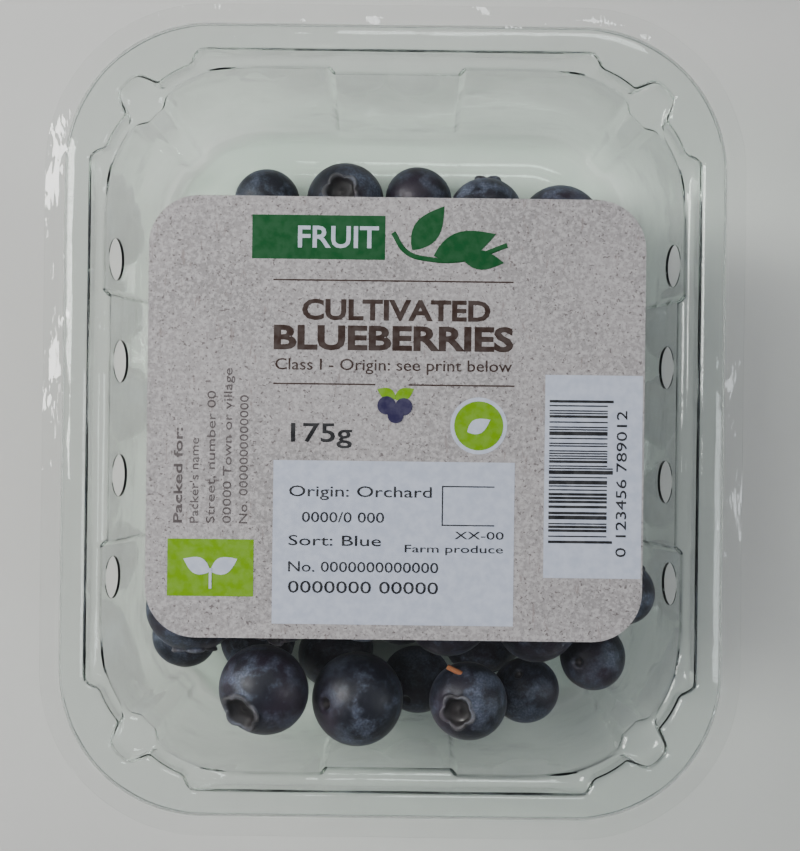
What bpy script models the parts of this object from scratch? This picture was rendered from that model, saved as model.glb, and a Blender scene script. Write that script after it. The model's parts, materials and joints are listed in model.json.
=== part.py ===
"""A sealed punnet of blueberries: clear thermoformed tray, sealing film, paper label and loose fruit.

Metres, +Z up. The origin is on the surface the tray stands on, under the middle of its rim.
+Y runs along the tray's length and +X across it.
"""

import math

import bmesh
import bpy
import numpy as np
from mathutils import Matrix, Vector

MM = 0.001

# Tray rim: a flat sealing flange with a turned-down lip
HEIGHT = 40.0 * MM
RIM_HALF_X = 58.5 * MM
RIM_HALF_Y = 70.0 * MM
RIM_RADIUS = 25.8 * MM
FLANGE_WIDTH = 4.8 * MM
LIP_WIDTH = 1.6 * MM
LIP_DROP = 2.0 * MM
SHEET = 0.45 * MM

# Tray body: a steep shoulder, a narrow ledge, sloping walls and a raised floor inside a foot ring
SHOULDER_DEPTH = 5.0 * MM
SHOULDER_DRAFT = 0.5 * MM
BODY_HALF_X = 51.9 * MM
BODY_HALF_Y = 63.2 * MM
BODY_RADIUS = 26.5 * MM
LEDGE_DROP = 0.5 * MM
WALL_FOOT = 5.5 * MM
WALL_DRAFT = math.tan(math.radians(10))
FOOT_INSET = 3.2 * MM
FOOT_WIDTH = 4.0 * MM
FLOOR_RISE = 1.6 * MM

# Stiffening: a shallow panel in each wall, a rib in each corner, lugs under the flange corners
PANEL_DEPTH = 1.0 * MM
PANEL_HALF_Y = 22.6 * MM
PANEL_HALF_X = 11.8 * MM
PANEL_EDGE = 0.5 * MM
RIB_DEPTH = 1.4 * MM
RIB_TURNS = (4.5, 7)
LUG_TURNS = (0, 5, 9, 12, 35, 37.5, 45)
LUG_CUTS = (0, 0.3 * MM, 1.6 * MM, 3.6 * MM, 2.4 * MM, 0, 0)
CORNER_TURNS = (0, 4.5, 7, 9, 12, 20, 28, 35, 37.5, 41, 45)

# Openings: round vents high in the long walls, slots in the floor
VENT_RADIUS = 3.9 * MM
VENT_DROP = 12.2 * MM
VENT_PLACES_Y = (-29.0 * MM, -10.4 * MM, 10.4 * MM, 29.0 * MM)
VENT_SIDES = 14
SLOT_LENGTH = 12.0 * MM
SLOT_WIDTH = 4.5 * MM
SLOT_PLACES = [(x * MM, y * MM) for x in (-18, 18) for y in (-28, 0, 28)]

# Sealing film and label
FILM_OVERHANG = 3.0 * MM
FILM_THICKNESS = 0.15 * MM
LABEL_HALF_X = 43.6 * MM
LABEL_HALF_Y = 38.8 * MM
LABEL_RADIUS = 8.8 * MM
LABEL_THICKNESS = 0.15 * MM
LABEL_OFF_CENTRE = Vector((0.5, 0.5, 0)) * MM
SEAL_GAP = 0.3 * MM
CORNER_SEGMENTS = 8

# Fruit: berries placed by hand where they show, and the rest settled under them
BERRY_COUNT = 76
SINGLE_BERRIES = 56
SMALLEST = 13.4 * MM
LARGEST = 17.4 * MM
ROUNDNESS = 0.92
TOUCH_GAP = 0.34 * MM
BERRY_SEED = 9
BERRY_SIDES = 8
NECK_RADIUS = 1.5 * MM

# Settling: where the loose berries start, in millimetres, and how they are moved until none is too close
DROP_BOX = ((-40, -50, 8), (40, 40, 40))
SETTLE_STEPS = 1500
FIRST_DROP = 0.12 * MM
PUSH_SHARE = 0.33
CLOSE_ENOUGH = 0.03 * MM

# Across, along, height and diameter in millimetres, then which way the crown points
PLACED_BERRIES = [
    ((-23.0, -49.2, 28.0, 16.8), (-0.50, -0.45, 0.74)),
    ((-5.9, -51.1, 25.0, 17.2), (0.73, 0.02, -0.68)),
    ((14.3, -50.8, 28.0, 13.9), (-0.34, -0.18, 0.92)),
    ((25.4, -49.9, 20.0, 12.3), (0.30, -0.60, -0.70)),
    ((38.1, -43.7, 18.0, 12.4), (0.55, 0.10, -0.80)),
    ((42.3, -30.8, 26.0, 12.4), (0.20, 0.80, 0.40)),
    ((-39.3, -41.4, 14.0, 12.2), (0.30, 0.90, -0.20)),
    ((-25.2, -41.3, 14.2, 14.5), (0.60, -0.30, 0.70)),
    ((5.1, -49.0, 14.0, 13.0), (0.30, 0.50, -0.70)),
    ((-24.9, 42.2, 9.5, 12.6), (0.20, -0.50, 0.80)),
    ((-9.8, 42.5, 9.8, 14.4), (-0.10, 0.20, 0.97)),
    ((4.4, 43.0, 9.5, 12.6), (0.50, 0.60, -0.60)),
    ((17.2, 40.2, 14.0, 13.7), (0.10, 0.90, -0.30)),
    ((31.8, 37.8, 10.4, 16.0), (-0.40, -0.20, 0.90)),
]

# The heap stands against the -Y end: each side's way, how much it leans in, and how far out it lies
HEAP_SIDES = [
    ((-1.0, 0.0), 0.14, 48.5 * MM),
    ((1.0, 0.0), 0.14, 49.0 * MM),
    ((0.0, 1.0), 0.13, 44.2 * MM),
    ((0.0, -1.0), 0.70, 62.5 * MM),
    ((0.8, -0.6), 0.18, 63.0 * MM),
    ((-0.8, -0.6), 0.18, 63.0 * MM),
    ((0.7, 0.7), 0.20, 61.5 * MM),
    ((-0.7, 0.7), 0.20, 61.5 * MM),
]


def clear_scene():
    for old in list(bpy.data.objects):
        bpy.data.objects.remove(old)


def surface(name, colour, roughness, alpha=1.0):
    made = bpy.data.materials.new(name)
    made.use_nodes = True
    shader = made.node_tree.nodes["Principled BSDF"]
    shader.inputs["Base Color"].default_value = (*colour, 1)
    shader.inputs["Roughness"].default_value = roughness
    shader.inputs["Metallic"].default_value = 0
    shader.inputs["Alpha"].default_value = alpha
    return made


def object_from(name, shape, material=None):
    """Turns a bmesh into an object of the scene and frees it."""
    mesh = bpy.data.meshes.new(name)
    shape.to_mesh(mesh)
    shape.free()
    made = bpy.data.objects.new(name, mesh)
    bpy.context.scene.collection.objects.link(made)
    if material:
        mesh.materials.append(material)
    return made


def hide_cutter(cutter):
    cutter.hide_render = True
    cutter.display_type = "WIRE"
    return cutter


# ---- tray ----


def quarter(half_x, half_y, radius, z, panel=0.0, rib=0.0, lugs=0.0):
    """The outline's points from +X round to +Y at one height, with its panels, rib and lugs."""
    points = [(half_x - panel, 0.0), (half_x - panel, PANEL_HALF_Y - PANEL_EDGE)]
    points.append((half_x, PANEL_HALF_Y + PANEL_EDGE))
    for turn in [-t for t in reversed(CORNER_TURNS)] + list(CORNER_TURNS[1:]):
        cut = lugs * np.interp(abs(turn), LUG_TURNS, LUG_CUTS)
        cut += rib * np.interp(abs(turn), RIB_TURNS, (1, 0))
        angle = math.radians(45 + turn)
        reach = radius - cut
        x = half_x - radius + reach * math.cos(angle)
        y = half_y - radius + reach * math.sin(angle)
        points.append((x, y))
    points.append((PANEL_HALF_X + PANEL_EDGE, half_y))
    points += [(PANEL_HALF_X - PANEL_EDGE, half_y - panel), (0.0, half_y - panel)]
    return [Vector((x, y, z)) for x, y in points]


def full_turn(points):
    """Mirrors a quarter outline into the other three quarters, as one closed ring."""
    ring = []
    for sign_x, sign_y in ((1, 1), (-1, 1), (-1, -1), (1, -1)):
        ordered = points if sign_x * sign_y > 0 else points[::-1]
        ring += [Vector((sign_x * p.x, sign_y * p.y, p.z)) for p in ordered[:-1]]
    return ring


def rim_ring(inset, z):
    return full_turn(quarter(RIM_HALF_X - inset, RIM_HALF_Y - inset, RIM_RADIUS - inset, z))


def mouth_ring(inset, z):
    inset += FLANGE_WIDTH
    return full_turn(quarter(RIM_HALF_X - inset, RIM_HALF_Y - inset, RIM_RADIUS - inset, z, lugs=1))


def body_ring(inset, z, relief=1.0):
    sizes = (BODY_HALF_X - inset, BODY_HALF_Y - inset, BODY_RADIUS - inset)
    return full_turn(quarter(*sizes, z, panel=relief * PANEL_DEPTH, rib=relief * RIB_DEPTH))


def ledge_height():
    return HEIGHT - SHOULDER_DEPTH - LEDGE_DROP


def wall_inset(z):
    """How far the wall has come in at a height, measured from the ledge."""
    return (ledge_height() - z) * WALL_DRAFT


def tray_rings():
    """The inside face of the sheet, ring by ring from the lip's edge to the raised floor."""
    foot = wall_inset(WALL_FOOT)
    return [
        rim_ring(0, HEIGHT - LIP_DROP),
        rim_ring(0.3 * LIP_WIDTH, HEIGHT - 0.35 * LIP_DROP),
        rim_ring(LIP_WIDTH, HEIGHT),
        mouth_ring(0, HEIGHT),
        mouth_ring(SHOULDER_DRAFT, HEIGHT - SHOULDER_DEPTH),
        body_ring(0, ledge_height()),
        body_ring(foot, WALL_FOOT),
        body_ring(foot + 0.25 * FOOT_INSET, 0.38 * WALL_FOOT, relief=0.7),
        body_ring(foot + FOOT_INSET, SHEET, relief=0),
        body_ring(foot + FOOT_INSET + FOOT_WIDTH, SHEET, relief=0),
        body_ring(foot + FOOT_INSET + FOOT_WIDTH + FLOOR_RISE, SHEET + FLOOR_RISE, relief=0),
    ]


def add_prism(shape, outline, along):
    """Adds a closed prism to a bmesh: an outline and its copy moved by a vector."""
    near = [shape.verts.new(p) for p in outline]
    far = [shape.verts.new(p + along) for p in outline]
    shape.faces.new(near)
    shape.faces.new(far)
    for i, a in enumerate(near):
        j = (i + 1) % len(near)
        shape.faces.new((a, near[j], far[j], far[i]))


def opening_cutter():
    """Every vent and floor slot as one cutter: bars right across the tray, and slots through its floor."""
    shape = bmesh.new()
    reach = 2 * RIM_HALF_X
    turns = [2 * math.pi * (i + 0.5) / VENT_SIDES for i in range(VENT_SIDES)]
    for y in VENT_PLACES_Y:
        middle = Vector((-reach / 2, y, HEIGHT - VENT_DROP))
        ring = [middle + VENT_RADIUS * Vector((0, math.cos(t), math.sin(t))) for t in turns]
        add_prism(shape, ring, Vector((reach, 0, 0)))
    end = SLOT_WIDTH / 2
    for x, y in SLOT_PLACES:
        ring = []
        for side in (1, -1):
            for turn in (-90, -45, 0, 45, 90):
                angle = math.radians(turn) + (0 if side > 0 else math.pi)
                centre_y = y + side * (SLOT_LENGTH / 2 - end)
                ring.append(Vector((x + end * math.sin(angle), centre_y + end * math.cos(angle), -SHEET)))
        add_prism(shape, ring, Vector((0, 0, FLOOR_RISE + 4 * SHEET)))
    bmesh.ops.recalc_face_normals(shape, faces=shape.faces)
    return hide_cutter(object_from("opening_cutter", shape))


def tray(material):
    shape = bmesh.new()
    rings = [[shape.verts.new(p) for p in ring] for ring in tray_rings()]
    count = len(rings[0])
    for outer, inner in zip(rings, rings[1:]):
        for i in range(count):
            j = (i + 1) % count
            shape.faces.new((outer[i], outer[j], inner[j], inner[i]))
    centre = shape.verts.new((0, 0, SHEET + FLOOR_RISE))
    for i in range(count):
        shape.faces.new((rings[-1][i], rings[-1][(i + 1) % count], centre))
    made = object_from("tray", shape, material)
    wall = made.modifiers.new("sheet", "SOLIDIFY")
    wall.thickness = SHEET
    wall.offset = -1
    wall.use_even_offset = True
    cut = made.modifiers.new("openings", "BOOLEAN")
    cut.operation = "DIFFERENCE"
    cut.object = opening_cutter()
    return made


# ---- film and label ----


def flat_sheet(name, half_x, half_y, radius, bottom, thickness, centre, material):
    """A flat sheet with rounded corners."""
    ring = []
    for corner in range(4):
        for step in range(CORNER_SEGMENTS + 1):
            angle = math.radians(90 * (corner + step / CORNER_SEGMENTS))
            side_x = 1 if corner in (0, 3) else -1
            side_y = 1 if corner in (0, 1) else -1
            x = side_x * (half_x - radius) + radius * math.cos(angle)
            y = side_y * (half_y - radius) + radius * math.sin(angle)
            ring.append(centre + Vector((x, y, bottom)))
    shape = bmesh.new()
    add_prism(shape, ring, Vector((0, 0, thickness)))
    bmesh.ops.recalc_face_normals(shape, faces=shape.faces)
    return object_from(name, shape, material)


def sealing_film(material):
    sizes = (RIM_HALF_X + FILM_OVERHANG, RIM_HALF_Y + FILM_OVERHANG, RIM_RADIUS + FILM_OVERHANG)
    return flat_sheet("sealing_film", *sizes, HEIGHT + SEAL_GAP, FILM_THICKNESS, Vector(), material)


def label(material):
    sizes = (LABEL_HALF_X, LABEL_HALF_Y, LABEL_RADIUS)
    bottom = HEIGHT + FILM_THICKNESS + 2 * SEAL_GAP
    return flat_sheet("label", *sizes, bottom, LABEL_THICKNESS, LABEL_OFF_CENTRE, material)


# ---- fruit ----


def keep_inside(places, radii):
    """Moves berries back inside the walls, the floor, the film and the sides of the heap."""
    x, y, z = places.T
    inset = wall_inset(z) + PANEL_DEPTH
    radius = BODY_RADIUS - inset + RIB_DEPTH
    over_x = np.abs(x) - (BODY_HALF_X - inset - radius)
    over_y = np.abs(y) - (BODY_HALF_Y - inset - radius)
    corner = np.hypot(np.maximum(over_x, 0), np.maximum(over_y, 0))
    outside = corner + np.minimum(np.maximum(over_x, over_y), 0) - radius
    deep = np.maximum(outside + (radii + TOUCH_GAP) * math.hypot(1, WALL_DRAFT), 0)
    both = (over_x > 0) & (over_y > 0)
    safe = np.maximum(corner, 1e-9)
    way_x = np.where(both, over_x / safe, over_x >= over_y) * np.sign(x)
    way_y = np.where(both, over_y / safe, over_x < over_y) * np.sign(y)
    places[:, 0] -= deep * way_x
    places[:, 1] -= deep * way_y
    for (side_x, side_y), lean, reach in HEAP_SIDES:
        beyond = places @ (side_x, side_y, lean) + radii - reach
        places[:, :2] -= np.maximum(beyond, 0)[:, None] * (side_x, side_y)
    lowest = SHEET + FLOOR_RISE + TOUCH_GAP + radii
    places[:, 2] = np.clip(places[:, 2], lowest, HEIGHT - TOUCH_GAP - radii)


def push_apart(places, radii, loose):
    """Moves the loose berries away from those that lie too close, and returns the worst closeness."""
    between = places[:, None] - places[None]
    distance = np.linalg.norm(between, axis=2) + np.eye(len(radii))
    missing = np.maximum(radii[:, None] + radii[None] + TOUCH_GAP - distance, 0)
    np.fill_diagonal(missing, 0)
    moved = places + PUSH_SHARE * ((missing / distance)[:, :, None] * between).sum(1)
    keep_inside(moved, radii)
    places[loose] = moved[loose]
    return missing[loose].max()


def settled_berries():
    """Centres, radii and crown directions of all the fruit: the placed berries, then the loose ones."""
    rng = np.random.default_rng(BERRY_SEED)
    placed = np.array([place for place, _ in PLACED_BERRIES]) * MM
    loose_count = BERRY_COUNT - len(placed)
    radii = np.concatenate([placed[:, 3], rng.uniform(SMALLEST, LARGEST, loose_count)]) / 2
    places = np.concatenate([placed[:, :3], rng.uniform(*DROP_BOX, (loose_count, 3)) * MM])
    loose = np.arange(len(placed), BERRY_COUNT)
    for step in range(SETTLE_STEPS):
        places[loose, 2] -= FIRST_DROP * (1 - step / SETTLE_STEPS)
        for _ in range(3):
            push_apart(places, radii, loose)
    for _ in range(4 * SETTLE_STEPS):
        if push_apart(places, radii, loose) < CLOSE_ENOUGH:
            break
    crowns = rng.normal(size=(BERRY_COUNT, 3))
    crowns[: len(placed)] = [crown for _, crown in PLACED_BERRIES]
    return places, radii, crowns


def add_berry(shape, centre, radius, crown):
    """Adds one berry to a bmesh: a slightly flattened ball with a stem dimple and a crown cup."""
    tall = radius * ROUNDNESS
    profile = [(0.0, -0.93), (0.34, -0.97)]
    profile += [(math.cos(t), math.sin(t)) for t in map(math.radians, (-47, -14, 18, 48))]
    profile += [(0.36, 0.96), (0.27, 0.80), (0.0, 0.80)]
    turn = Vector(crown).to_track_quat("Z", "Y").to_matrix().to_4x4()
    pose = Matrix.Translation(Vector(centre)) @ turn
    rings = []
    for out, up in profile:
        sides = BERRY_SIDES if out else 1
        angles = [2 * math.pi * i / BERRY_SIDES for i in range(sides)]
        wide = out * radius
        points = [Vector((wide * math.cos(a), wide * math.sin(a), up * tall)) for a in angles]
        rings.append([shape.verts.new(pose @ p) for p in points])
    for low, high in zip(rings, rings[1:]):
        for i in range(BERRY_SIDES):
            j = (i + 1) % BERRY_SIDES
            corners = [low[i % len(low)], low[j % len(low)], high[j % len(high)], high[i % len(high)]]
            shape.faces.new(dict.fromkeys(corners))


def shortest_links(places, radii):
    """Pairs that join every berry into one group by the narrowest gaps."""
    gaps = np.linalg.norm(places[:, None] - places[None], axis=2) - radii[:, None] - radii[None]
    joined, links = {0}, []
    while len(joined) < len(places):
        choices = [(gaps[i, j], i, j) for i in joined for j in range(len(places)) if j not in joined]
        _, i, j = min(choices)
        joined.add(j)
        links.append((i, j))
    return links


def neck_bars(places, radii):
    """Short bars through the pressed flats where neighbouring berries touch."""
    shape = bmesh.new()
    for i, j in shortest_links(places, radii):
        a, b = Vector(places[i]), Vector(places[j])
        turn = (b - a).to_track_quat("Z", "Y")
        angles = [math.radians(60 * k + 7) for k in range(6)]
        start = a + (b - a).normalized() * 0.5 * radii[i]
        end = b - (b - a).normalized() * 0.5 * radii[j]
        ring = [start + turn @ (NECK_RADIUS * Vector((math.cos(t), math.sin(t), 0))) for t in angles]
        add_prism(shape, ring, end - start)
    bmesh.ops.recalc_face_normals(shape, faces=shape.faces)
    return hide_cutter(object_from("neck_bars", shape))


def bottom_berries(places, radii, crowns, material):
    """The lowest fruit, pressed together into one cluster."""
    shape = bmesh.new()
    for berry in zip(places, radii, crowns):
        add_berry(shape, *berry)
    made = object_from("bottom_berries", shape, material)
    join = made.modifiers.new("pressed_flats", "BOOLEAN")
    join.operation = "UNION"
    join.object = neck_bars(places, radii)
    return made


def fruit(material):
    places, radii, crowns = settled_berries()
    by_height = np.argsort(places[:, 2] - radii)
    low, high = by_height[:-SINGLE_BERRIES], by_height[-SINGLE_BERRIES:]
    bottom_berries(places[low], radii[low], crowns[low], material)
    for number, i in enumerate(sorted(high), start=1):
        shape = bmesh.new()
        add_berry(shape, places[i], radii[i], crowns[i])
        made = object_from(f"berry_{number:02d}", shape, material)
        made.data.shade_smooth()


def main():
    clear_scene()
    clear_plastic = surface("clear_pet", (0.86, 0.90, 0.88), 0.08, alpha=0.3)
    tray(clear_plastic)
    sealing_film(surface("clear_film", (0.93, 0.95, 0.95), 0.05, alpha=0.2))
    label(surface("label_paper", (0.62, 0.57, 0.56), 0.55))
    fruit(surface("berry_skin", (0.07, 0.09, 0.17), 0.5))


main()
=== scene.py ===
"""Looks of a sealed punnet of blueberries: clear tray, sealing film, printed label and bloomed fruit.

Everything is in metres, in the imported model's own frame: +Z up, +Y along the tray, origin under its middle.
"""

import json
import math
import random

import bpy
import numpy as np
from mathutils import Matrix, Vector, noise

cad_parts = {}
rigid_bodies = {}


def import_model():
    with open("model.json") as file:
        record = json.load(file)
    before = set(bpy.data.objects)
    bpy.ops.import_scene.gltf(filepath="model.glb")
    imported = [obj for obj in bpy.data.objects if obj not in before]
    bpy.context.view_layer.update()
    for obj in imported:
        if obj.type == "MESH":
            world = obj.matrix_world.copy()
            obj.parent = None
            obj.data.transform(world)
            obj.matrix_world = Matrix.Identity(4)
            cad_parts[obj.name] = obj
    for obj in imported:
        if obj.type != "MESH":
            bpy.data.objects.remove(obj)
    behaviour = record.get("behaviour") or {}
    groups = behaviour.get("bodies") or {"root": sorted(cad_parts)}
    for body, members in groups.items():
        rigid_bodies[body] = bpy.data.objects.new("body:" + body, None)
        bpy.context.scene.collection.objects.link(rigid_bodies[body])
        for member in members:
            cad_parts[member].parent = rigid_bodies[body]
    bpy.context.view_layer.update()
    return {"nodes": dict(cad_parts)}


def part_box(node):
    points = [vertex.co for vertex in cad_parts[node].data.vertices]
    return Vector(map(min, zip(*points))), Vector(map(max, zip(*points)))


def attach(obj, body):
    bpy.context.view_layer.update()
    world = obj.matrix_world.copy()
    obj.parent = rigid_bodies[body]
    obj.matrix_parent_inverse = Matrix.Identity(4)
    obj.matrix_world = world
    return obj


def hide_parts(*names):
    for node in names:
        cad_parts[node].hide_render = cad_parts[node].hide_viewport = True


for leftover in list(bpy.data.objects):
    bpy.data.objects.remove(leftover)

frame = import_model()

MM = 0.001
random.seed(5)

# ---- sizes read from the frame ----

TRAY_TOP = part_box("tray")[1]
RIM_HALF_X, RIM_HALF_Y, HEIGHT = TRAY_TOP
FILM_HALF_X, FILM_HALF_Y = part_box("sealing_film")[1].xy
LABEL_LOW, LABEL_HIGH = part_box("label")
LABEL_CENTRE = (LABEL_LOW + LABEL_HIGH) / 2
LABEL_HALF_X, LABEL_HALF_Y = ((LABEL_HIGH - LABEL_LOW) / 2).xy

# ---- sizes of the drawn tray, as the design has them ----

SHEET = 0.45 * MM
RIM_RADIUS = 25.8 * MM
LIP_DROP = 2.0 * MM
LIP_WIDTH = 1.5 * MM
BODY_SIZES = (51.9 * MM, 63.2 * MM, 26.5 * MM)
FLANGE_WIDTH = 4.8 * MM
SHOULDER_DRAFT = 0.5 * MM
SHOULDER_FOOT = HEIGHT - 5.0 * MM
LEDGE_HEIGHT = HEIGHT - 5.5 * MM
WALL_FOOT = 5.5 * MM
FOOT_INSET = 3.2 * MM
FOOT_WIDTH = 4.0 * MM
FLOOR_RISE = 1.6 * MM
FLOOR_RING = 4.0 * MM
FILLET = 1.3 * MM
WALL_DRAFT = math.tan(math.radians(10))
PANEL_DEPTH = 1.0 * MM
PANEL_HALF_X = 11.8 * MM
PANEL_HALF_Y = 22.6 * MM
PANEL_EDGE = 0.8 * MM
RIB_DEPTH = 1.4 * MM
VENT_RADIUS = 3.9 * MM
VENT_HEIGHT = HEIGHT - 12.2 * MM
VENT_PLACES_Y = [y * MM for y in (-29.0, -10.4, 10.4, 29.0)]
SLOT_HALF = (2.25 * MM, 6.0 * MM)
SLOT_PLACES = [(x * MM, y * MM) for x in (-18, 18) for y in (-28, 0, 28)]

# ---- film, label and print ----

FILM_INSETS = [i * MM for i in (0, 0.5, 1.0, 1.6, 2.2, 3.0, 3.7, 4.4, 5.1, 5.8, 6.5, 7.2, 8.0, 10.0, 14.0)]
FILM_STEPS = 560
SEAL_BAND = (2.6 * MM, 3.6 * MM, 6.6 * MM, 8.0 * MM)
FILM_PUCKER = 0.35 * MM
FILM_OVERHANG = 3.0 * MM
FREE_EDGE = 3.2 * MM
EDGE_CURL = 0.5 * MM

FILM_SHEET = 0.06 * MM
FILM_LIFT = 0.03 * MM
PAPER = 0.10 * MM
LABEL_RADIUS = 8.8 * MM
GLUE = 0.02 * MM
INK = 0.02 * MM
LAYER_STEP = 1.5 * INK
PRINT_FLOOR = HEIGHT + FILM_LIFT + FILM_SHEET + GLUE + PAPER


# ---- helpers ----


def alone(piece):
    """Makes one object the only selected and active one."""
    bpy.ops.object.select_all(action="DESELECT")
    piece.select_set(True)
    bpy.context.view_layer.objects.active = piece
    return piece


def new_piece(name):
    """Names the object that an operator has just added."""
    piece = bpy.context.active_object
    piece.name = name
    piece.data.name = name
    return alone(piece)


def apply_place(piece):
    alone(piece)
    bpy.ops.object.transform_apply(location=True, rotation=True, scale=True)
    return piece


def apply_modifiers(piece):
    alone(piece)
    for modifier in list(piece.modifiers):
        bpy.ops.object.modifier_apply(modifier=modifier.name)
    return piece


def joined(name, pieces):
    """Joins finished meshes into one piece."""
    alone(pieces[0])
    for piece in pieces:
        piece.select_set(True)
    bpy.ops.object.join()
    return new_piece(name)


def finished(piece, material, stands_for=()):
    """Gives a piece its material, and lets it ride on the pack."""
    apply_place(piece)
    piece.data.materials.clear()
    piece.data.materials.append(material)
    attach(piece, "root")
    if stands_for:
        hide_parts(*stands_for)
    return piece


def thickened(piece, thickness):
    """Turns a sheet of faces into a closed sheet, thickened under its faces."""
    wall = piece.modifiers.new("thickness", "SOLIDIFY")
    wall.thickness = thickness
    wall.offset = -1
    wall.use_even_offset = True
    return apply_modifiers(piece)


# ---- materials ----


class Finish:
    """A node material under construction: short calls add nodes and link them."""

    def __init__(self, name):
        self.material = bpy.data.materials.new(name)
        self.material.use_nodes = True
        self.tree = self.material.node_tree
        self.shader = self.tree.nodes["Principled BSDF"]
        self.output = self.tree.nodes["Material Output"]

    def add(self, kind, **settings):
        node = self.tree.nodes.new(kind)
        for key, value in settings.items():
            setattr(node, key, value)
        return node

    def link(self, source, target):
        self.tree.links.new(source, target)

    def place(self):
        return self.add("ShaderNodeTexCoord").outputs["Object"]

    def attribute(self, name):
        return self.add("ShaderNodeAttribute", attribute_name=name).outputs["Fac"]

    def noise(self, scale, detail=3.0, rough=0.5, place=None, stretch=None):
        node = self.add("ShaderNodeTexNoise")
        node.inputs["Scale"].default_value = scale
        node.inputs["Detail"].default_value = detail
        node.inputs["Roughness"].default_value = rough
        place = place or self.place()
        if stretch:
            mapping = self.add("ShaderNodeMapping")
            mapping.inputs["Scale"].default_value = stretch
            self.link(place, mapping.inputs["Vector"])
            place = mapping.outputs["Vector"]
        self.link(place, node.inputs["Vector"])
        return node.outputs["Fac"]

    def span(self, value, low, high, to_low=0.0, to_high=1.0, smooth=True):
        """Maps a value's span low..high to another, held at both ends."""
        node = self.add("ShaderNodeMapRange")
        node.interpolation_type = "SMOOTHSTEP" if smooth else "LINEAR"
        for key, number in zip(("From Min", "From Max", "To Min", "To Max"), (low, high, to_low, to_high)):
            node.inputs[key].default_value = number
        self.link(value, node.inputs["Value"])
        return node.outputs["Result"]

    def math(self, operation, a, b=None):
        node = self.add("ShaderNodeMath", operation=operation)
        for socket, value in zip(node.inputs, (a, b)):
            if isinstance(value, (int, float)):
                socket.default_value = value
            elif value is not None:
                self.link(value, socket)
        return node.outputs[0]

    def mix(self, share, a, b):
        """Mixes two colours, each a triple or a socket, by a share."""
        node = self.add("ShaderNodeMix", data_type="RGBA")
        self.link(share, node.inputs["Factor"])
        for key, value in (("A", a), ("B", b)):
            socket = [s for s in node.inputs if s.name == key and s.type == "RGBA"][0]
            if isinstance(value, tuple):
                socket.default_value = (*value, 1)
            else:
                self.link(value, socket)
        return [s for s in node.outputs if s.type == "RGBA"][0]

    def colour(self, value):
        socket = self.shader.inputs["Base Color"]
        if isinstance(value, tuple):
            socket.default_value = (*value, 1)
        else:
            self.link(value, socket)

    def set(self, **values):
        names = {"coat": "Coat Weight", "coat_roughness": "Coat Roughness", "specular": "Specular IOR Level"}
        names |= {"roughness": "Roughness", "ior": "IOR", "transmission": "Transmission Weight"}
        names |= {"sheen": "Sheen Weight", "sheen_roughness": "Sheen Roughness"}
        for key, value in values.items():
            self.shader.inputs[names[key]].default_value = value

    def rough(self, value):
        self.link(value, self.shader.inputs["Roughness"])

    def bump(self, height, distance, strength=1.0):
        node = self.add("ShaderNodeBump")
        node.inputs["Strength"].default_value = strength
        node.inputs["Distance"].default_value = distance
        self.link(height, node.inputs["Height"])
        self.link(node.outputs["Normal"], self.shader.inputs["Normal"])


def see_through(finish, shade):
    """Lets light fall through a clear sheet with a faint shade, instead of a solid shadow."""
    clear = finish.add("ShaderNodeBsdfTransparent")
    clear.inputs["Color"].default_value = (*shade, 1)
    path = finish.add("ShaderNodeLightPath")
    mix = finish.add("ShaderNodeMixShader")
    finish.link(path.outputs["Is Shadow Ray"], mix.inputs["Fac"])
    finish.link(finish.shader.outputs["BSDF"], mix.inputs[1])
    finish.link(clear.outputs["BSDF"], mix.inputs[2])
    finish.link(mix.outputs["Shader"], finish.output.inputs["Surface"])


def clear_pet():
    """Thermoformed sheet: clear, faintly green, with the drawing's slow ripple."""
    finish = Finish("clear_pet")
    finish.colour((0.905, 0.950, 0.925))
    finish.set(transmission=1.0, ior=1.45, roughness=0.0)
    ripple = finish.noise(80, 1.0, 0.4)
    orange_peel = finish.noise(260, 1.0, 0.5)
    finish.bump(finish.math("ADD", ripple, finish.math("MULTIPLY", orange_peel, 0.12)), 0.6 * MM, 0.7)
    see_through(finish, (0.86, 0.89, 0.87))
    return finish.material


def clear_film():
    """Sealing film: thin and clear, tight over the mouth, crinkled where the seal has shrunk it."""
    finish = Finish("clear_film")
    finish.colour((0.99, 0.995, 0.99))
    finish.set(transmission=1.0, ior=1.45, roughness=0.0)
    seal = finish.attribute("over_flange")
    slow = finish.noise(45, 2.0, 0.5)
    crinkle = finish.noise(260, 3.0, 0.6, stretch=(1.0, 0.30, 1.0))
    crinkle = finish.math("MULTIPLY", finish.math("MULTIPLY", crinkle, seal), 0.55)
    height = finish.math("ADD", slow, crinkle)
    finish.bump(height, 0.5 * MM, 0.7)
    see_through(finish, (0.93, 0.94, 0.935))
    return finish.material


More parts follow.
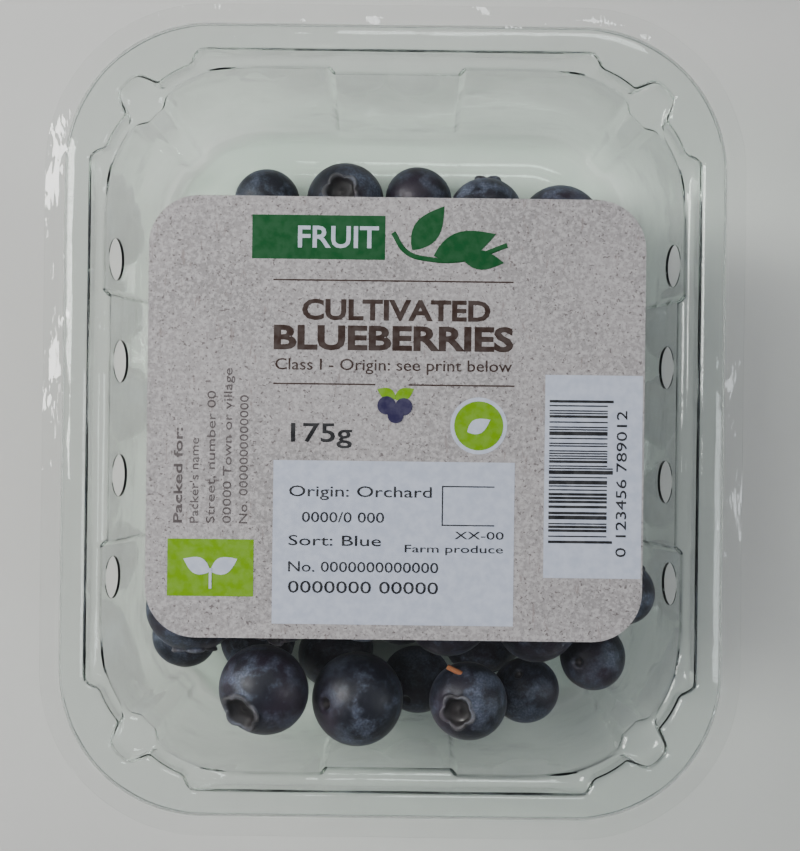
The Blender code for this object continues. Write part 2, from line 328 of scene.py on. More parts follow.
def label_paper():
    """Natural label paper: warm grey, with grey and dark fibres, under a thin satin varnish."""
    finish = Finish("label_paper")
    cloud = finish.span(finish.noise(70, 4.0, 0.6), 0.35, 0.7)
    grain = finish.span(finish.noise(1500, 2.0, 0.6), 0.42, 0.62)
    mottle = finish.span(finish.noise(2300, 3.0, 0.7), 0.52, 0.66)
    fibre = finish.span(finish.noise(900, 4.0, 0.75, stretch=(1.0, 0.25, 1.0)), 0.60, 0.68)
    fleck = finish.span(finish.noise(1900, 1.0, 0.4), 0.66, 0.72)
    base = finish.mix(cloud, (0.345, 0.325, 0.325), (0.290, 0.275, 0.275))
    base = finish.mix(grain, base, (0.42, 0.40, 0.40))
    base = finish.mix(finish.math("MULTIPLY", mottle, 0.55), base, (0.175, 0.165, 0.165))
    base = finish.mix(finish.math("MULTIPLY", fibre, 0.75), base, (0.25, 0.215, 0.21))
    base = finish.mix(finish.math("MULTIPLY", fleck, 0.8), base, (0.13, 0.11, 0.11))
    finish.colour(base)
    finish.set(coat=0.35, coat_roughness=0.22)
    finish.rough(finish.span(grain, 0, 1, 0.5, 0.62))
    crumple = finish.noise(60, 3.0, 0.55)
    finish.bump(finish.math("ADD", crumple, finish.math("MULTIPLY", grain, 0.01)), 0.6 * MM, 0.6)
    return finish.material


def ink(name, colour, worn=0.03):
    """Printed ink or a plain stock patch, slightly uneven, that follows the label's crumple."""
    finish = Finish(name)
    patchy = finish.span(finish.noise(600, 3.0, 0.6), 0.3, 0.7)
    paler = tuple(c + (1 - c) * worn for c in colour)
    finish.colour(finish.mix(patchy, colour, paler))
    finish.set(coat=0.5, coat_roughness=0.18)
    finish.rough(finish.span(patchy, 0, 1, 0.37, 0.50))
    finish.bump(finish.noise(60, 3.0, 0.55), 0.6 * MM, 0.6)
    return finish.material


def berry_skin():
    """Blueberry skin: blue-black under a pale waxy bloom, rubbed off in patches; the crown cup and stem scar
    are painted near-black with a faint brown cast, partly bare dark skin and partly painted shade in these
    hollows.
    """
    finish = Finish("berry_skin")
    along = finish.attribute("along_axis")
    # Marks the crown cup and stem scar hollows, which get painted shade below
    cup = finish.attribute("hollow_bare_and_shaded")
    each = finish.span(finish.noise(38, 1.0, 0.3), 0.35, 0.65)
    cloud = finish.noise(210, 4.0, 0.65)
    rub = finish.noise(620, 5.0, 0.7)
    speck = finish.noise(2600, 2.0, 0.5)
    bloom = finish.math("ADD", finish.span(cloud, 0.40, 0.66), finish.span(rub, 0.45, 0.75, -0.15, 0.35))
    bloom = finish.math("MULTIPLY", bloom, finish.span(each, 0, 1, 0.50, 0.95))
    bloom = finish.math("MULTIPLY", bloom, finish.span(along, -0.9, 0.9, 0.7, 1.0))
    tone = finish.span(finish.noise(90, 2.0, 0.5), 0.4, 0.65)
    dark = finish.mix(tone, (0.0045, 0.0050, 0.0115), (0.0140, 0.0075, 0.0170))
    waxy = finish.mix(finish.span(speck, 0.35, 0.7), (0.050, 0.060, 0.092), (0.112, 0.125, 0.168))
    skin = finish.mix(bloom, dark, waxy)
    rim = finish.attribute("crown_rim")
    skin = finish.mix(finish.math("MULTIPLY", rim, 0.6), skin, (0.085, 0.078, 0.080))
    # Crown cup and stem scar made near-black: partly bare dark skin, partly painted shade in these hollows
    skin = finish.mix(finish.math("MULTIPLY", cup, 0.9), skin, (0.010, 0.007, 0.007))
    finish.colour(skin)
    finish.set(specular=0.32, sheen=0.05, sheen_roughness=0.4)
    finish.rough(finish.span(bloom, 0.0, 1.0, 0.46, 0.74))
    finish.bump(finish.math("ADD", rub, finish.math("MULTIPLY", speck, 0.15)), 0.25 * MM, 0.35)
    return finish.material


def stem_wood():
    finish = Finish("stem_wood")
    grain = finish.noise(1800, 4.0, 0.6, stretch=(1.0, 1.0, 0.3))
    finish.colour(finish.mix(grain, (0.13, 0.038, 0.012), (0.30, 0.12, 0.045)))
    finish.rough(finish.span(grain, 0, 1, 0.6, 0.8))
    finish.bump(grain, 0.1 * MM, 0.5)
    return finish.material


# ---- tray ----

# Turns from the corner's middle in degrees, and how far the mouth steps in there for the de-nesting lugs
LUG_TURNS = (0, 6, 8.5, 11, 13, 34, 36.5, 39, 45)
LUG_CUTS = (0, 0.2 * MM, 1.4 * MM, 3.0 * MM, 3.5 * MM, 2.4 * MM, 1.6 * MM, 0, 0)
RIB_TURNS = (0, 5.5, 7.0)
RIB_CUTS = (1, 1, 0)
CORNER_STEPS = 72
CORNER_BLUR = (-1.6, -0.8, 0, 0.8, 1.6)


def eased(share):
    """A step's share with soft ends."""
    share = np.clip(share, 0, 1)
    return share * share * (3 - 2 * share)


def soft_depth(turn, turns, depths):
    """A corner feature's depth at a turn from the corner's middle, with its edges rounded over."""
    return np.mean([np.interp(abs(turn + shift), turns, depths) for shift in CORNER_BLUR])


def quarter_outline(half_x, half_y, radius, lug, panel, rib):
    """Points of an outline from +X round to +Y, with lugs, panel and rib as deep as asked."""
    edge = (-1, -0.7, -0.35, 0, 0.35, 0.7, 1)
    side = list(np.linspace(0, PANEL_HALF_Y - 2 * PANEL_EDGE, 5))
    side += [PANEL_HALF_Y + e * PANEL_EDGE for e in edge]
    side += list(np.linspace(PANEL_HALF_Y + 2 * PANEL_EDGE, half_y - radius, 5)[:-1])
    points = []
    for y in side:
        sunk = panel * eased((PANEL_HALF_Y + PANEL_EDGE - y) / (2 * PANEL_EDGE))
        points.append((half_x - sunk, y))
    for step in range(CORNER_STEPS + 1):
        turn = 90 * step / CORNER_STEPS - 45
        cut = lug * soft_depth(turn, LUG_TURNS, LUG_CUTS) + rib * soft_depth(turn, RIB_TURNS, RIB_CUTS)
        angle = math.radians(45 + turn)
        x = half_x - radius + (radius - cut) * math.cos(angle)
        y = half_y - radius + (radius - cut) * math.sin(angle)
        points.append((x, y))
    end = list(np.linspace(half_x - radius, PANEL_HALF_X + 2 * PANEL_EDGE, 5)[1:])
    end += [PANEL_HALF_X - e * PANEL_EDGE for e in edge] + [0.45 * PANEL_HALF_X, 0]
    for x in end:
        sunk = panel * eased((PANEL_HALF_X + PANEL_EDGE - x) / (2 * PANEL_EDGE))
        points.append((x, half_y - sunk))
    return np.array(points)


def full_outline(sizes):
    """Mirrors a quarter outline into a closed ring of x, y."""
    quarter = quarter_outline(*sizes)
    ring = []
    for sign_x, sign_y in ((1, 1), (-1, 1), (-1, -1), (1, -1)):
        ordered = quarter if sign_x * sign_y > 0 else quarter[::-1]
        ring.append(ordered[:-1] * (sign_x, sign_y))
    return np.concatenate(ring)


def rounded_stations(stations, reach):
    """Rounds the corners of a section, given as rows of sizes with the height last."""
    rows = [np.array(row, float) for row in stations]
    out = [rows[0]]
    for before, here, after in zip(rows, rows[1:], rows[2:]):
        cut = []
        for other in (before, after):
            length = math.hypot(other[0] - here[0], other[-1] - here[-1])
            cut.append(here + (other - here) * min(reach / length, 0.45))
        for t in (0, 0.25, 0.5, 0.75, 1):
            out.append((1 - t) ** 2 * cut[0] + 2 * t * (1 - t) * here + t * t * cut[1])
    return out + [rows[-1]]


def tray_stations():
    """The tray's section from the lip's edge to the raised floor: sizes, lug, panel, rib and height."""

    def rim(inset, height, lug=0.0):
        return (RIM_HALF_X - inset, RIM_HALF_Y - inset, RIM_RADIUS - inset, lug, 0, 0, height)

    def body(inset, height, relief=1.0):
        half_x, half_y, radius = (size - inset for size in BODY_SIZES)
        return (half_x, half_y, radius, 0, relief * PANEL_DEPTH, relief * RIB_DEPTH, height)

    wall = (LEDGE_HEIGHT - WALL_FOOT) * WALL_DRAFT
    foot = wall + FOOT_INSET
    floor = foot + FOOT_WIDTH + FLOOR_RISE
    return [
        rim(0, HEIGHT - LIP_DROP),
        rim(0.1 * LIP_WIDTH, HEIGHT - 0.45 * LIP_DROP),
        rim(LIP_WIDTH, HEIGHT),
        rim(FLANGE_WIDTH, HEIGHT, 1),
        rim(FLANGE_WIDTH + SHOULDER_DRAFT, SHOULDER_FOOT, 1),
        body(0, LEDGE_HEIGHT),
        body(wall, WALL_FOOT),
        body(wall + 0.25 * FOOT_INSET, 0.38 * WALL_FOOT, 0.7),
        body(foot, SHEET, 0),
        body(foot + FOOT_WIDTH, SHEET, 0),
        body(floor, SHEET + FLOOR_RISE, 0),
        body(floor + FLOOR_RING, SHEET + FLOOR_RISE, 0),
    ]


def drawn_sheet(name, rings):
    """Extrudes a circle of edges ring by ring, lays each on its outline and closes the middle."""
    count = len(rings[0])
    bpy.ops.mesh.primitive_circle_add(vertices=count, radius=RIM_HALF_X, location=(0, 0, HEIGHT))
    piece = apply_place(new_piece(name))
    bpy.ops.object.mode_set(mode="EDIT")
    bpy.ops.mesh.select_all(action="SELECT")
    for _ in rings[1:]:
        bpy.ops.mesh.extrude_region_move(TRANSFORM_OT_translate={"value": (0, 0, -MM)})
    bpy.ops.mesh.edge_face_add()
    bpy.ops.object.mode_set(mode="OBJECT")
    piece.data.vertices.foreach_set("co", np.concatenate(rings).astype(np.float32).ravel())
    piece.data.update()
    if piece.data.polygons[-1].normal.z < 0:
        bpy.ops.object.mode_set(mode="EDIT")
        bpy.ops.mesh.select_all(action="SELECT")
        bpy.ops.mesh.flip_normals()
        bpy.ops.object.mode_set(mode="OBJECT")
    return piece


def cut_away(piece, cutter):
    """Cuts one shape out of a piece and removes the cutter."""
    cut = piece.modifiers.new("cut", "BOOLEAN")
    cut.operation = "DIFFERENCE"
    cut.object = cutter
    apply_modifiers(piece)
    bpy.data.objects.remove(cutter)
    return piece


def vent_drill(y):
    """A bar right across the tray, for a pair of round vents."""
    bpy.ops.mesh.primitive_cylinder_add(vertices=40, radius=VENT_RADIUS, depth=3 * RIM_HALF_X)
    drill = new_piece("vent_drill")
    drill.rotation_euler = (0, math.pi / 2, 0)
    drill.location = (0, y, VENT_HEIGHT)
    return apply_place(drill)


def slot_punch(x, y):
    """A long punch with round ends, for the floor's drain slots."""
    bpy.ops.mesh.primitive_cylinder_add(vertices=32, radius=SLOT_HALF[0], depth=6 * MM)
    punch = new_piece("slot_punch")
    punch.location = (x, y, 2 * MM)
    apply_place(punch)
    for vertex in punch.data.vertices:
        side = 1 if vertex.co.y > y + 1e-6 else -1 if vertex.co.y < y - 1e-6 else 0
        vertex.co.y += side * (SLOT_HALF[1] - SLOT_HALF[0])
    return punch


def make_tray(material):
    rings = []
    for row in rounded_stations(tray_stations(), FILLET):
        outline = full_outline(row[:-1])
        rings.append(np.column_stack([outline, np.full(len(outline), row[-1])]))
    tray = thickened(drawn_sheet("clear_tray", rings), SHEET)
    for y in VENT_PLACES_Y:
        cut_away(tray, vent_drill(y))
    for place in SLOT_PLACES:
        cut_away(tray, slot_punch(*place))
    alone(tray)
    bpy.ops.object.shade_smooth_by_angle(angle=math.radians(38))
    return finished(tray, material, ["tray"])


# ---- film ----


def evenly_spaced(ring, count):
    """Points at even steps along a closed ring."""
    closed = np.concatenate([ring, ring[:1]])
    lengths = np.linalg.norm(np.diff(closed, axis=0), axis=1)
    along = np.concatenate([[0], np.cumsum(lengths)])
    steps = np.linspace(0, along[-1], count, endpoint=False)
    return np.column_stack([np.interp(steps, along, closed[:, axis]) for axis in (0, 1)])


def make_film(material):
    """A film with a free edge that lifts and dips a little, and small puckers where it is sealed."""
    rings = []
    for inset in FILM_INSETS:
        sizes = (FILM_HALF_X - inset, FILM_HALF_Y - inset, RIM_RADIUS + FILM_OVERHANG - inset, 0, 0, 0)
        outline = evenly_spaced(full_outline(sizes), FILM_STEPS)
        free = max(0.0, 1 - inset / FREE_EDGE)
        sealed = np.interp(inset, SEAL_BAND, (0, 1, 1, 0))
        heights = []
        for x, y in outline:
            wave = noise.noise(Vector((x, y, 0)) * 70) + 0.5 * noise.noise(Vector((x, y, 3)) * 210)
            pucker = max(0.0, noise.noise(Vector((x, y, 7)) * 330) + 0.1) * FILM_PUCKER
            lift = free * (wave - 0.5) * EDGE_CURL + sealed * pucker
            heights.append(HEIGHT + FILM_LIFT + FILM_SHEET + lift)
        rings.append(np.column_stack([outline, heights]))
    film = thickened(drawn_sheet("lidding_film", rings), FILM_SHEET)
    over = film.data.attributes.new("over_flange", "FLOAT", "POINT")
    values = []
    for vertex in film.data.vertices:
        out_x = abs(vertex.co.x) - (RIM_HALF_X - RIM_RADIUS)
        out_y = abs(vertex.co.y) - (RIM_HALF_Y - RIM_RADIUS)
        reach = math.hypot(max(out_x, 0), max(out_y, 0)) - RIM_RADIUS
        values.append(1.0 if reach > -1.1 * FLANGE_WIDTH else 0.0)
    over.data.foreach_set("value", values)
    alone(film)
    bpy.ops.object.shade_smooth_by_angle(angle=math.radians(40))
    return finished(film, material, ["sealing_film"])


# ---- label and print ----


def on_label(u, v, layer=0):
    """A point of the print, in millimetres across and up from the label's middle."""
    return Vector((LABEL_CENTRE.x + u * MM, LABEL_CENTRE.y + v * MM, PRINT_FLOOR + layer * LAYER_STEP))


def make_label(material):
    """The label: a sheet with rounded corners."""
    centre = (LABEL_CENTRE.x, LABEL_CENTRE.y, PRINT_FLOOR)
    bpy.ops.mesh.primitive_plane_add(size=1, location=centre)
    label = new_piece("paper_label")
    label.scale = (2 * LABEL_HALF_X, 2 * LABEL_HALF_Y, 1)
    apply_place(label)
    bpy.ops.object.mode_set(mode="EDIT")
    bpy.ops.mesh.select_all(action="SELECT")
    bpy.ops.mesh.bevel(offset=LABEL_RADIUS, segments=14, affect="VERTICES")
    bpy.ops.object.mode_set(mode="OBJECT")
    return finished(thickened(label, PAPER), material, ["label"])


def patch(name, low, high, layer=1):
    """A printed rectangle from one corner to the other, in label millimetres."""
    middle = on_label((low[0] + high[0]) / 2, (low[1] + high[1]) / 2, layer)
    bpy.ops.mesh.primitive_plane_add(size=1, location=middle)
    made = new_piece(name)
    made.scale = ((high[0] - low[0]) * MM, (high[1] - low[1]) * MM, 1)
    return thickened(apply_place(made), INK)


def words(text, start, width, height, layer=1, turn=0.0, bold=0.0):
    """A line of plain lettering: its lower left corner, and its width and capitals' height in mm."""
    bpy.ops.object.text_add(location=(0, 0, 0))
    line = new_piece("line")
    line.data.body = text
    line.data.resolution_u = 3
    line.data.offset = bold
    line.data.extrude = INK / 2
    bpy.ops.object.convert(target="MESH")
    line = new_piece("line")
    corners = np.array([vertex.co for vertex in line.data.vertices])
    low, high = corners.min(0), corners.max(0)
    line.data.transform(Matrix.Translation((-low[0], 0, 0)))
    scale = (width / (high[0] - low[0]), height / 0.73, 1)
    line.data.transform(Matrix.Diagonal((scale[0] * MM, scale[1] * MM, 1, 1)))
    line.data.transform(Matrix.Rotation(turn, 4, "Z"))
    line.data.transform(Matrix.Translation(on_label(*start, layer)))
    return line


def leaf(length, width, at, turn, layer=1):
    """A pointed flat leaf that starts at a place and points along a turn."""
    bpy.ops.mesh.primitive_circle_add(vertices=28, radius=0.5, fill_type="NGON", location=(0, 0, 0))
    made = new_piece("leaf")
    for vertex in made.data.vertices:
        share = vertex.co.x + 0.5
        side = 1 if vertex.co.y > 0 else -1
        swell = math.sin(math.pi * share**0.85) if 0 < share < 1 else 0
        vertex.co = (share * length * MM, side * swell * width / 2 * MM, 0)
    made.data.transform(Matrix.Rotation(turn, 4, "Z"))
    made.data.transform(Matrix.Translation(on_label(*at, layer)))
    return thickened(made, INK)


def disc(radius, at, layer=1):
    """A flat printed disc around a place."""
    place = on_label(*at, layer)
    bpy.ops.mesh.primitive_circle_add(vertices=36, radius=radius * MM, fill_type="NGON", location=place)
    return thickened(apply_place(new_piece("disc")), INK)


def stroke(points, width, layer=1):
    """A flat line of even width through points in label millimetres."""
    curve = bpy.data.curves.new("stroke", "CURVE")
    curve.dimensions = "3D"
    spline = curve.splines.new("BEZIER")
    spline.bezier_points.add(len(points) - 1)
    for knot, point in zip(spline.bezier_points, points):
        knot.co = on_label(*point, layer)
        knot.handle_left_type = "AUTO"
        knot.handle_right_type = "AUTO"
    curve.resolution_u = 8
    curve.extrude = 0
    curve.bevel_depth = width / 2 * MM
    curve.bevel_resolution = 2
    made = bpy.data.objects.new("stroke", curve)
    bpy.context.scene.collection.objects.link(made)
    alone(made)
    bpy.ops.object.convert(target="MESH")
    made = new_piece("stroke")
    level = on_label(0, 0, layer).z
    for vertex in made.data.vertices:
        vertex.co.z = level + (vertex.co.z - level) * 0.04
    return made


def print_label(inks):
    """All the print, each ink a piece: bars, rules, leaves, plain words, a bar code, two plain badges."""
    green = [patch("bar", (-25.5, 27.8), (-2.2, 35.5))]
    green += [leaf(9.5, 4.6, (2.6, 29.6), 0.95, 2), leaf(11.5, 5.0, (6.4, 28.6), 0.35, 3)]
    green += [leaf(7.5, 3.4, (11.2, 28.4), -0.12, 4)]
    green += [stroke([(-0.8, 32.6), (1.6, 29.2), (5.5, 28.0), (12.0, 28.1), (19.2, 30.6)], 0.85)]
    finished(joined("print_green", green), inks["green"])
    white = [words("FRUIT", (-17.5, 29.9), 14.2, 3.9, 2, bold=0.02)]
    white += [patch("panel", (-21.3, -36.2), (21.0, -7.5)), patch("code", (26.2, -27.6), (43.3, 8.0))]
    white += [disc(5.0, (14.6, -1.1), 1)]
    finished(joined("print_white", white), inks["white"])
    brown = [words("CULTIVATED", (-16.6, 17.3), 33.0, 3.6, bold=0.03)]
    brown += [words("BLUEBERRIES", (-21.5, 12.1), 42.0, 4.2, bold=0.035)]
    brown += [words("Class I - Origin: see print below", (-21.2, 8.4), 41.5, 2.1)]
    brown += [patch("rule", (-21.7, 24.0), (20.4, 24.25)), patch("rule", (-21.5, 5.8), (-3.6, 6.05))]
    brown += [patch("rule", (2.2, 5.8), (20.8, 6.05))]
    finished(joined("print_brown", brown), inks["brown"])
    grey = []
    lines = ((16.7, "Packed for:"), (14.9, "Packer's name"), (23.2, "Street, number 00"))
    lines += ((27.2, "00000 Town or village"), (22.5, "No. 0000000000000"))
    for number, (length, text) in enumerate(lines):
        bold = 0.02 if number == 0 else 0.0
        start = (-37.3 + 2.87 * number, -18.7)
        grey.append(words(text, start, length, 1.55, turn=math.pi / 2, bold=bold))
    finished(joined("print_grey", grey), inks["grey"])
    black = [words("175g", (-18.3, -4.2), 10.7, 3.4, bold=0.01)]
    panel_lines = (
        ("Origin: Orchard", -18.5, -13.8, 25.0, 2.0),
        ("0000/0 000", -16.2, -18.3, 14.4, 1.9),
        ("Sort: Blue", -18.5, -22.4, 16.2, 1.9),
        ("No. 0000000000000", -18.5, -27.0, 26.3, 1.9),
        ("0000000 00000", -18.5, -30.7, 26.3, 2.2),
        ("XX-00", 10.6, -21.0, 8.6, 1.4),
        ("Farm produce", 1.9, -23.4, 17.2, 1.4),
    )
    for text, u, v, width, height in panel_lines:
        black.append(words(text, (u, v), width, height, 2))
    frame_sides = (((8.5, -11.9), (17.5, -11.7)), ((8.5, -18.7), (17.5, -18.5)), ((8.3, -18.7), (8.5, -11.7)))
    for low, high in frame_sides:
        black.append(patch("frame", low, high, 2))
    black += bar_code()
    finished(joined("print_black", black), inks["black"])
    lime = [patch("badge", (-39.7, -31.5), (-24.6, -21.5))]
    lime += [leaf(3.9, 2.2, (-0.2, 3.4), 0.5, 1), leaf(3.6, 2.1, (0.0, 3.6), 2.7, 2)]
    lime += [disc(4.3, (14.6, -1.1), 2)]
    finished(joined("print_lime", lime), inks["lime"])
    pale = [leaf(5.2, 3.0, (-32.1, -27.2), 0.45, 2), leaf(5.2, 3.0, (-32.2, -27.2), 2.7, 3)]
    pale += [patch("stalk", (-32.4, -30.2), (-31.9, -26.6), 4), leaf(4.6, 2.6, (12.6, -2.2), 0.5, 3)]
    finished(joined("print_pale", pale), inks["white"])
    fruit = [disc(1.6, (-1.6, 2.3), 3), disc(1.5, (1.4, 2.1), 4), disc(1.4, (0.0, 0.6), 5)]
    finished(joined("print_berries", fruit), inks["blue"])


def bar_code():
    """Bars of uneven width across the code patch, with plain numbers beside them."""
    bars = []
    v = 3.6
    while v > -21.4:
        thick = random.choice((0.22, 0.22, 0.44, 0.66))
        longer = 1.0 if v > 2.9 or v < -20.4 or abs(v + 8.8) < 0.6 else 0.0
        bars.append(patch("bar", (27.0, v - thick), (37.2 + longer, v), 2))
        v -= thick + random.choice((0.22, 0.22, 0.44, 0.66))
    bars.append(words("0 123456 789012", (40.6, -23.8), 25.6, 1.9, 2, turn=math.pi / 2))
    return bars


# ---- fruit ----

BERRY_SEGMENTS = 40
OBLATENESS = 0.92
PLUMPING = 0.12 * MM
USUAL_RADIUS = 7.4 * MM
MARK_SPREAD = 2.6 * MM
MARK_ROUNDS = 15
BERRY_FACES = 200 * MM * MM
STEM_OFFSET = (-2.6 * MM, 6.0 * MM, 3.4 * MM)
STEM_LEAN = math.radians(62)


def berry_profile():
    """The half section of a berry of radius 1, from the stem scar to the bottom of the crown cup."""
    points = [(0.0, -0.79), (0.07, -0.80), (0.11, -0.83), (0.135, -0.875), (0.175, -0.905)]
    for degrees in range(-76, 63, 6):
        angle = math.radians(degrees)
        points.append((math.cos(angle), OBLATENESS * math.sin(angle)))
    points += [(0.43, 0.835), (0.405, 0.865), (0.385, 0.90), (0.36, 0.92), (0.335, 0.905), (0.315, 0.86)]
    points += [(0.30, 0.80), (0.26, 0.755), (0.18, 0.735), (0.08, 0.735), (0.035, 0.76), (0.0, 0.765)]
    return points


def make_berry_pattern():
    """One berry of radius 1 with a five-lobed crown, spun from its half section."""
    profile = berry_profile()
    bpy.ops.mesh.primitive_circle_add(vertices=3, radius=0.1)
    berry = new_piece("berry_pattern")
    berry.data.clear_geometry()
    edges = [(i, i + 1) for i in range(len(profile) - 1)]
    berry.data.from_pydata([(x, 0, z) for x, z in profile], edges, [])
    bpy.ops.object.mode_set(mode="EDIT")
    bpy.ops.mesh.select_all(action="SELECT")
    bpy.ops.mesh.spin(steps=BERRY_SEGMENTS, angle=2 * math.pi, center=(0, 0, 0), axis=(0, 0, 1))
    bpy.ops.mesh.select_all(action="SELECT")
    bpy.ops.mesh.remove_doubles(threshold=0.0005)
    bpy.ops.mesh.normals_make_consistent(inside=False)
    bpy.ops.object.mode_set(mode="OBJECT")
    along = berry.data.attributes.new("along_axis", "FLOAT", "POINT")
    # Marks the crown cup and stem scar hollows, painted near-black by the skin: partly bare skin, partly
    # painted shade
    cup = berry.data.attributes.new("hollow_bare_and_shaded", "FLOAT", "POINT")
    rim = berry.data.attributes.new("crown_rim", "FLOAT", "POINT")
    for index, vertex in enumerate(berry.data.vertices):
        x, y, z = vertex.co
        out = math.hypot(x, y)
        along.data[index].value = z / OBLATENESS
        cup.data[index].value = 1.0 if (out < 0.33 and z > 0.6) or (out < 0.12 and z < -0.6) else 0.0
        if z > 0.8 and 0.3 < out < 0.45:
            lobe = abs(math.cos(2.5 * math.atan2(y, x)))
            share = 1 - abs(out - 0.37) / 0.08
            grow = 1 + (0.42 * lobe - 0.06) * share
            vertex.co = (x * grow, y * grow, z + (0.035 * lobe - 0.045) * share)
            rim.data[index].value = share
    alone(berry)
    bpy.ops.object.shade_smooth()
    return berry


def berry_axis(points):
    """Centre, radius and crown direction of a berry's CAD points, whose spread differs along the axis."""
    points = np.unique(points.round(7), axis=0)
    spread, ways = np.linalg.eigh(np.cov((points - points.mean(0)).T))
    odd = 0 if spread[1] - spread[0] > spread[2] - spread[1] else 2
    way = ways[:, odd]
    along = points @ way
    middle = (along.max() + along.min()) / 2
    if along.mean() < middle:
        way, middle = -way, -middle
    radius = abs(along.max() - along.min()) / (1.93 * OBLATENESS)
    centre = points.mean(0) + way * (middle - points.mean(0) @ way)
    return Vector(centre), radius, Vector(way)


def cad_points(node):
    mesh = frame["nodes"][node].data
    points = np.zeros(3 * len(mesh.vertices))
    mesh.vertices.foreach_get("co", points)
    return points.reshape(-1, 3)


def pressed_berries(node):
    """Centres and radii of the berries in a joined node: marks a radius in from each face meet there."""
    faces = frame["nodes"][node].data.polygons
    middles = np.array([face.center for face in faces])
    marks = middles - USUAL_RADIUS * np.array([face.normal for face in faces])
    areas = np.array([face.area for face in faces])
    left = areas.copy()
    found = []
    while left.max() > 0:
        start = int(left.argmax())
        left[start] = 0
        point = marks[start]
        near = np.linalg.norm(marks - point, axis=1) < MARK_SPREAD
        for _ in range(MARK_ROUNDS):
            if near.any():
                point = np.average(marks[near], axis=0, weights=areas[near])
                near = np.linalg.norm(marks - point, axis=1) < MARK_SPREAD
        left[near] = 0
        apart = all((Vector(point) - other).length > USUAL_RADIUS for other, _ in found)
        if apart and areas[near].sum() > BERRY_FACES:
            reach = np.linalg.norm(middles[near] - point, axis=1)
            found.append((Vector(point), float(np.percentile(reach, 70))))
    return found


def berry_from(pattern, name, centre, radius, crown, spin):
    """A copy of the pattern at its place, plumped towards its neighbours and never quite round."""
    berry = pattern.copy()
    berry.data = pattern.data.copy()
    berry.name = name
    bpy.context.scene.collection.objects.link(berry)
    turn = crown.to_track_quat("Z", "Y").to_matrix().to_4x4()
    squeeze = Matrix.Diagonal((1 + random.uniform(-0.02, 0.02), 1 + random.uniform(-0.02, 0.02), 1, 1))
    size = radius + PLUMPING
    pose = Matrix.Translation(centre) @ turn @ Matrix.Rotation(spin, 4, "Z")
    berry.data.transform(pose @ squeeze @ Matrix.Scale(size, 4))
    return berry


def make_fruit(material):
    pattern = make_berry_pattern()
    for node in sorted(n for n in frame["nodes"] if n.startswith("berry_")):
        name = node.replace("berry", "blueberry")
        berry = berry_from(pattern, name, *berry_axis(cad_points(node)), random.uniform(0, 6))
        finished(berry, material, [node])
    low = []
    for centre, radius in pressed_berries("bottom_berries"):
        crown = Vector([random.gauss(0, 1) for _ in range(3)])
        low.append(berry_from(pattern, "low", centre, radius, crown, random.uniform(0, 6)))
    finished(joined("blueberries_below", low), material, ["bottom_berries"])
    bpy.data.objects.remove(pattern)


def make_stem_end(material):
    """A short dry end of stem that has come off with a berry and lies against the fruit."""
    bpy.ops.mesh.primitive_cylinder_add(vertices=14, radius=0.42 * MM, depth=3.0 * MM)
    stem = new_piece("stem_end")
    bpy.ops.object.mode_set(mode="EDIT")
    bpy.ops.mesh.select_all(action="SELECT")
    bpy.ops.mesh.bevel(offset=0.14 * MM, segments=2)
    bpy.ops.object.mode_set(mode="OBJECT")
    swell = 0.3
    for vertex in stem.data.vertices:
        up = vertex.co.z / (1.5 * MM)
        grow = 1 + swell * up * up + 0.12 * noise.noise(vertex.co * 1500)
        vertex.co = (vertex.co.x * grow, vertex.co.y * grow, vertex.co.z)
    bpy.ops.object.shade_smooth_by_angle(angle=math.radians(50))
    beside = (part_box("berry_03")[0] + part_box("berry_03")[1]) / 2 + Vector(STEM_OFFSET)
    stem.data.transform(Matrix.Rotation(STEM_LEAN, 4, "X") @ Matrix.Rotation(STEM_LEAN, 4, "Y"))
    stem.data.transform(Matrix.Translation(beside))
    finished(stem, material)


# ---- stage ----


FLOOR_DROP = 0.05 * MM


def make_stage():
    """A plain pale floor just under the foot, and a soft sky."""
    bpy.ops.mesh.primitive_plane_add(size=6, location=(0, 0, -FLOOR_DROP))
    floor = apply_place(new_piece("floor"))
    finish = Finish("pale_floor")
    finish.colour((0.50, 0.495, 0.48))
    finish.set(roughness=0.7)
    floor.data.materials.append(finish.material)
    world = bpy.data.worlds.new("studio")
    world.use_nodes = True
    world.node_tree.nodes["Background"].inputs["Color"].default_value = (0.90, 0.94, 1.0, 1)
    world.node_tree.nodes["Background"].inputs["Strength"].default_value = 0.22
    scene = bpy.context.scene
    scene.world = world
    scene.view_settings.look = "AgX - Medium High Contrast"
    scene.cycles.transparent_max_bounces = 24
    scene.cycles.transmission_bounces = 20
    scene.cycles.max_bounces = 24


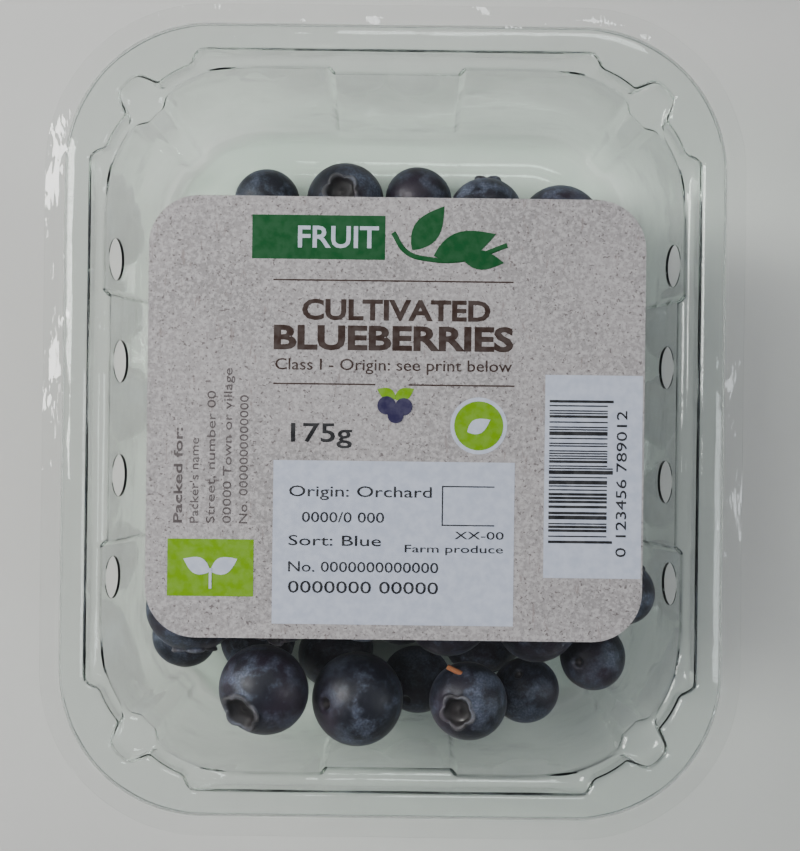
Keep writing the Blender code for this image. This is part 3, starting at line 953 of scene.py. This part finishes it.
def soft_light(name, place, target, size, power, colour=(1, 1, 1)):
    light = bpy.data.lights.new(name, "AREA")
    light.shape = "RECTANGLE"
    light.size, light.size_y = size
    light.energy = power
    light.color = colour
    made = bpy.data.objects.new(name, light)
    bpy.context.scene.collection.objects.link(made)
    made.location = place
    made.rotation_euler = (Vector(target) - Vector(place)).to_track_quat("-Z", "Y").to_euler()


CAMERA_RISE = 0.300
PICTURE_HEIGHT = 0.1493
CAMERA_SIDE = Vector((1.3, -0.7)) * MM
CAMERA_TURN = math.radians(0.7)


def make_camera():
    """Looks straight down on the label from arm's length."""
    camera = bpy.data.cameras.new("camera")
    camera.sensor_width = 36
    camera.lens = 36 * CAMERA_RISE / PICTURE_HEIGHT
    camera.clip_start = 0.01
    made = bpy.data.objects.new("camera", camera)
    bpy.context.scene.collection.objects.link(made)
    made.location = (CAMERA_SIDE.x, CAMERA_SIDE.y, HEIGHT + CAMERA_RISE)
    made.rotation_euler = (0, 0, CAMERA_TURN)
    bpy.context.scene.camera = made


def main():
    make_camera()
    make_stage()
    soft_light("window", (-0.52, 0.12, 0.42), (0, 0, 0), (0.20, 0.50), 4.6, (1.0, 0.99, 0.97))
    soft_light("far_window", (0.9, -0.1, 0.55), (0, 0, 0), (0.25, 1.0), 3.2, (0.92, 0.96, 1.0))
    soft_light("top_fill", (0.2, 0.9, 1.1), (0, 0, 0), (0.5, 0.5), 4, (0.95, 0.98, 1.0))
    make_tray(clear_pet())
    make_film(clear_film())
    make_label(label_paper())
    inks = {
        "green": ink("green_ink", (0.004, 0.085, 0.020), worn=0.01),
        "white": ink("white_stock", (0.43, 0.46, 0.54), worn=0.10),
        "brown": ink("brown_ink", (0.040, 0.020, 0.014)),
        "grey": ink("grey_ink", (0.10, 0.085, 0.085)),
        "black": ink("black_ink", (0.012, 0.012, 0.014)),
        "lime": ink("lime_ink", (0.16, 0.31, 0.010)),
        "blue": ink("blue_ink", (0.028, 0.022, 0.075)),
    }
    print_label(inks)
    make_fruit(berry_skin())
    make_stem_end(stem_wood())


main()
